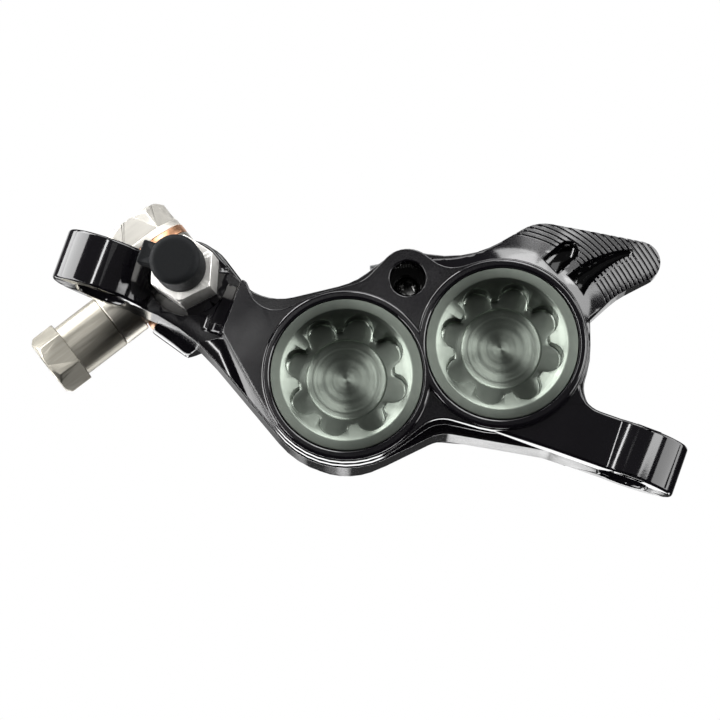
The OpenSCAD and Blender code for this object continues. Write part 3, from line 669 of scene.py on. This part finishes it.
def capBlank(s):
    # rows of (radius, depth, share of the lobes, share of the cone's rise), from the floor's
    # middle to the back
    coneOut = s["radius"] - s["rim"]
    slope = s["coneDepth"] / (coneOut - s["recessRadius"])
    e = s["edge"]
    nick = s["edgeRound"] * e
    floor = s["recessDepth"]
    wall = s["recessRadius"]
    lip = (coneOut - wall) * slope
    disc = floor + s["discSink"]
    dish = disc + s["dishSink"]
    ease = s["dishRound"] * s["dishSink"]
    rows = [
        (s["dishFrom"] / 2, dish, 0, 0),
        (s["dishFrom"] - e, dish, 0, 0),
        (s["dishFrom"] + e, dish - ease, 0, 0),
        (s["dishTo"] - e, disc + ease, 0, 0),
        (s["dishTo"] + e, disc, 0, 0),
        (s["discRadius"] - e, disc, 0, 0),
        (s["discRadius"], disc - e / 2, 0, 0),
        (s["discRadius"] + e, floor, 0, 0),
        (wall - 3 * e, floor, 1, 0),
        (wall - e, floor - nick, 1, 0),
        (wall, floor - e, 1, 0),
        (wall, lip + e, 1, 1),
        (wall + nick, lip, 1, 1),
        (wall + e, (coneOut - wall - e) * slope, 1, 1),
        (coneOut - 4 * e, 4 * e * slope, 0, 0),
        (coneOut - e, e * slope, 0, 0),
        (coneOut, e / 4 * slope, 0, 0),
        (coneOut + e, 0, 0, 0),
        (s["radius"] - e, 0, 0, 0),
        (s["radius"] - nick, nick, 0, 0),
        (s["radius"], e, 0, 0),
        (s["radius"], s["grooveFrom"], 0, 0),
        (s["grooveRadius"], s["grooveFrom"], 0, 0),
        (s["grooveRadius"], s["grooveTo"], 0, 0),
        (s["radius"], s["grooveTo"], 0, 0),
        (s["radius"], s["height"] - e, 0, 0),
        (s["radius"] - e, s["height"], 0, 0),
    ]
    count = s["segments"]
    points = [(0, dish, 0)]
    shares = [(0, 0)]
    for radius, depth, lobeShare, coneShare in rows:
        for i in range(count):
            turn = 2 * math.pi * i / count
            points.append((radius * math.cos(turn), depth, radius * math.sin(turn)))
            shares.append((lobeShare, coneShare))
    points.append((0, s["height"], 0))
    shares.append((0, 0))
    last = len(points) - 1
    top = 1 + (len(rows) - 1) * count
    faces = [(0, 1 + i, 1 + (i + 1) % count) for i in range(count)]
    faces += [(top + i, last, top + (i + 1) % count) for i in range(count)]
    for row in range(len(rows) - 1):
        a = 1 + row * count
        for i in range(count):
            j = (i + 1) % count
            faces.append((a + i, a + count + i, a + count + j, a + j))
    mesh = bpy.data.meshes.new("capBlank")
    mesh.from_pydata(points, [], faces)
    for index, name in enumerate(("lobeShare", "coneShare")):
        layer = mesh.attributes.new(name, "FLOAT", "POINT")
        layer.data.foreach_set("value", [pair[index] for pair in shares])
    return mesh, slope


def lobeTree():
    # pushes each point out to the edge of the nearest lobe, and up the cone with it
    tree = bpy.data.node_groups.new("lobedRecess", "GeometryNodeTree")
    sockets = {}
    for name, kind in (("Geometry", "Geometry"), ("Lobes", "Int"), ("Lobe Radius", "Float"),
                       ("Lobe Circle", "Float"), ("Recess Radius", "Float"), ("Turn", "Float"),
                       ("Cone Slope", "Float"), ("Centre", "Vector"), ("Material", "Material")):
        sockets[name] = tree.interface.new_socket(name=name, in_out="INPUT",
                                                  socket_type="NodeSocket" + kind)
    tree.interface.new_socket(name="Geometry", in_out="OUTPUT", socket_type="NodeSocketGeometry")
    given = addNode(tree, "NodeGroupInput").outputs
    spot = addNode(tree, "GeometryNodeInputPosition").outputs[0]
    parts = addNode(tree, "ShaderNodeSeparateXYZ", {0: spot}).outputs
    found = {"x": parts[0], "z": parts[2]}
    for name in ("lobeShare", "coneShare"):
        found[name] = addNode(tree, "GeometryNodeInputNamedAttribute", {"Name": name},
                              data_type="FLOAT").outputs[0]
    steps = (
        # result, operation, then numbers, earlier results or inputs of the tree
        ("angle", "ARCTAN2", "z", "x"),
        ("around", "SUBTRACT", "angle", "Turn"),
        ("half", "DIVIDE", math.pi, "Lobes"),
        ("otherHalf", "MULTIPLY", "half", -1.0),
        ("off", "WRAP", "around", "half", "otherHalf"),
        ("sine", "SINE", "off"),
        ("side", "MULTIPLY", "Lobe Circle", "sine"),
        ("sideSquare", "MULTIPLY", "side", "side"),
        ("radiusSquare", "POWER", "Lobe Radius", 2.0),
        ("left", "SUBTRACT", "radiusSquare", "sideSquare"),
        ("leftOver", "MAXIMUM", "left", 0.0),
        ("chord", "SQRT", "leftOver"),
        ("cosine", "COSINE", "off"),
        ("middle", "MULTIPLY", "Lobe Circle", "cosine"),
        ("reach", "ADD", "middle", "chord"),
        ("beyond", "SUBTRACT", "reach", "Recess Radius"),
        ("push", "MAXIMUM", "beyond", 0.0),
        ("outPush", "MULTIPLY", "push", "lobeShare"),
        ("conePush", "MULTIPLY", "push", "coneShare"),
        ("fall", "MULTIPLY", "Cone Slope", -1.0),
        ("rise", "MULTIPLY", "conePush", "fall"),
    )
    for result, operation, *taken in steps:
        values = {}
        for i, item in enumerate(taken):
            if isinstance(item, str):
                item = found[item] if item in found else given[item]
            values[i] = item
        found[result] = addNode(tree, "ShaderNodeMath", values, operation=operation).outputs[0]
    flat = addNode(tree, "ShaderNodeCombineXYZ", {0: found["x"], 2: found["z"]}).outputs[0]
    outward = addNode(tree, "ShaderNodeVectorMath", {0: flat}, operation="NORMALIZE").outputs[0]
    across = addNode(tree, "ShaderNodeVectorMath", {0: outward, "Scale": found["outPush"]},
                     operation="SCALE").outputs[0]
    lift = addNode(tree, "ShaderNodeCombineXYZ", {1: found["rise"]}).outputs[0]
    move = addNode(tree, "ShaderNodeVectorMath", {0: across, 1: lift}, operation="ADD").outputs[0]
    shaped = addNode(tree, "GeometryNodeSetPosition", {"Geometry": given["Geometry"],
                                                       "Offset": move})
    placed = addNode(tree, "GeometryNodeTransform", {"Geometry": shaped.outputs[0],
                                                     "Translation": given["Centre"]})
    whole = addNode(tree, "GeometryNodeRealizeInstances", {"Geometry": placed.outputs[0]})
    painted = addNode(tree, "GeometryNodeSetMaterial", {"Geometry": whole.outputs[0],
                                                        "Material": given["Material"]})
    addNode(tree, "NodeGroupOutput", {"Geometry": painted.outputs[0]})
    return tree, sockets


capTree, capSockets = lobeTree()
for nodeName in ("bore_cap_left", "bore_cap_right"):
    low, high = (Vector(corner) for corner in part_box(nodeName))
    centre = Vector(((low.x + high.x) / 2, low.y, (low.z + high.z) / 2))
    blank, coneSlope = capBlank(capShape)
    cap = bpy.data.objects.new(nodeName + "Lobed", blank)
    bpy.context.scene.collection.objects.link(cap)
    side = nodeName.split("_")[-1].capitalize()
    finish = makeTurnedGunmetal("turnedGunmetal" + side, centre, gunmetal)
    lobed = cap.modifiers.new("lobedRecess", "NODES")
    lobed.node_group = capTree
    values = dict(capLobes, **{"Recess Radius": capShape["recessRadius"], "Cone Slope": coneSlope,
                               "Centre": centre, "Material": finish})
    for name, value in values.items():
        lobed[capSockets[name].identifier] = value
    bakeModifiers(cap)
    settle(cap, capShape["sharpAngle"])
    dress(cap, finish, nodeName)
print("caps lobed")

# the other solids: material and edge width in millimetres
otherPieces = {
    "cap_oring_left": ("sealRubber", 0), "cap_oring_right": ("sealRubber", 0),
    "piston_outer_left": ("groundSteel", 0.12), "piston_outer_right": ("groundSteel", 0.12),
    "piston_inner_left": ("groundSteel", 0.12), "piston_inner_right": ("groundSteel", 0.12),
    "seal_outer_left": ("sealRubber", 0), "seal_outer_right": ("sealRubber", 0),
    "seal_inner_left": ("sealRubber", 0), "seal_inner_right": ("sealRubber", 0),
    "pad_plate_outer": ("platedSteel", 0.15), "pad_plate_inner": ("platedSteel", 0.15),
    "pad_lining_outer": ("sinteredLining", 0.2), "pad_lining_inner": ("sinteredLining", 0.2),
    "pad_spring": ("springSteel", 0.06),
    "pad_pin": ("polishedSteel", 0.12),
    "bleed_nipple": ("brightStainless", 0.14),
    "nipple_cap": ("mouldedRubber", 0.25),
    "banjo_bolt": ("blastedStainless", 0.18),
    "banjo_fitting": ("satinStainless", 0.2),
    "banjo_washer_upper": ("annealedCopper", 0.12), "banjo_washer_lower": ("annealedCopper", 0.12),
    "hose_nut": ("brushedStainless", 0.16),
}
# the pad spring flattens about the middle of the slot as the pads close; here it only gets a mesh of
# its own
for nodeName, (finish, width) in otherPieces.items():
    piece = roundedCopy(nodeName, width * mm)
    dress(piece, materials[finish], nodeName)
    if nodeName == "pad_spring":
        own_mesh(piece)
print("other pieces dressed:", len(otherPieces))
